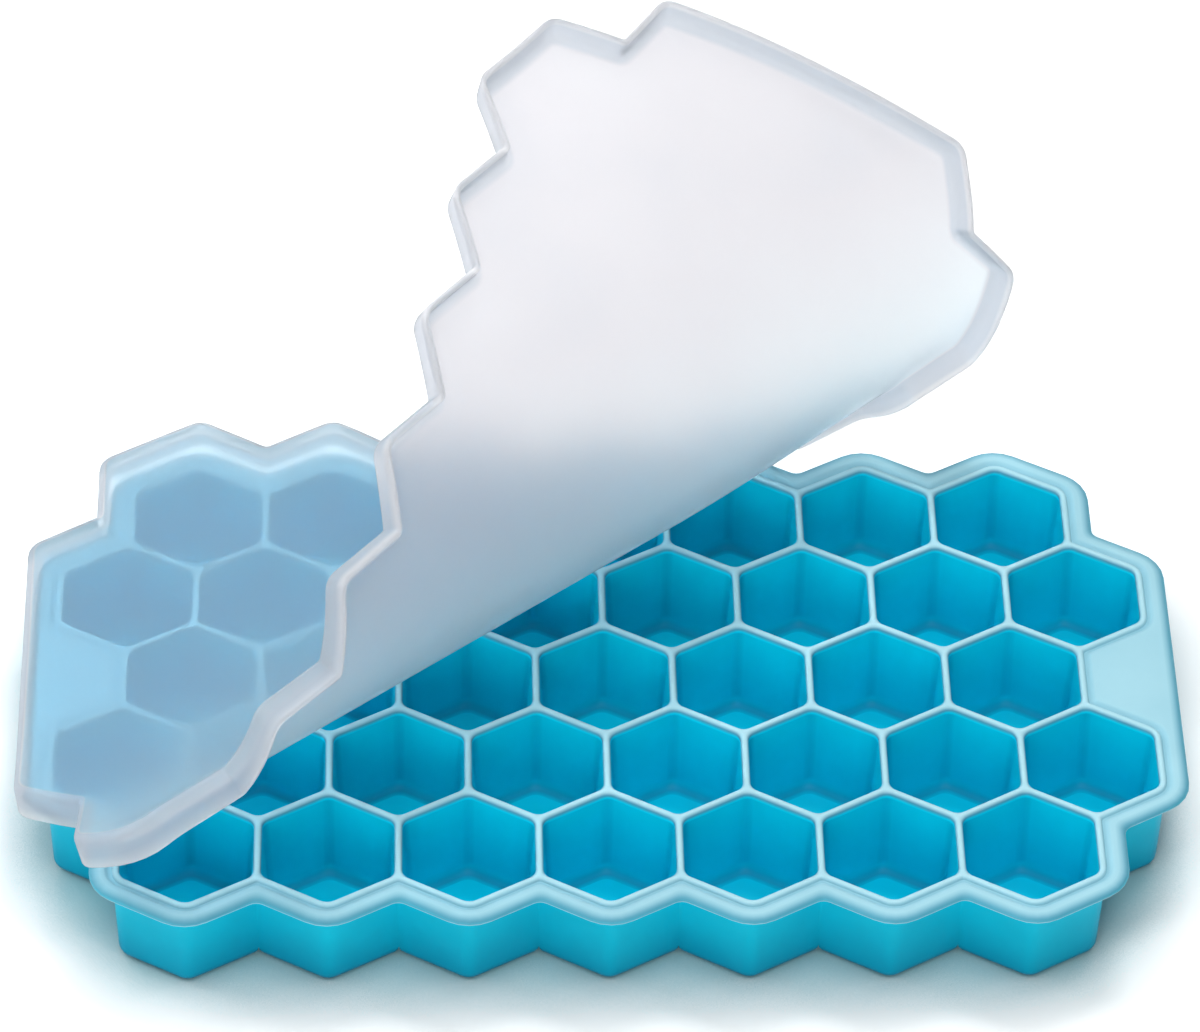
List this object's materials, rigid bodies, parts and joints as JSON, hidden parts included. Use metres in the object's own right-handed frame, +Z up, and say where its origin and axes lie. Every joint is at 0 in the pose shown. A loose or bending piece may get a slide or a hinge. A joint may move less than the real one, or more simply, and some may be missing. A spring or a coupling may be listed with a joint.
{
  "type": "silicone ice cube tray with lid",
  "caption": "Flexible honeycomb ice cube tray with a zigzag rim and a soft translucent lid, seated at one end and peeled back.",
  "frame": {"origin": "on the plane that the feet of the cups stand on, under the middle of the centre cell", "axes": "+X along the long side, towards the uncovered end; +Y away from the front; +Z up, out of the cells"},
  "size_m": [0.202, 0.1392, 0.1131],
  "materials": {
    "blue_silicone": "satin moulded silicone",
    "clear_silicone": "satin translucent silicone"
  },
  "bodies": {
    "root": {"tray": "blue_silicone", "lid": "clear_silicone"}
  },
  "joints": []
}
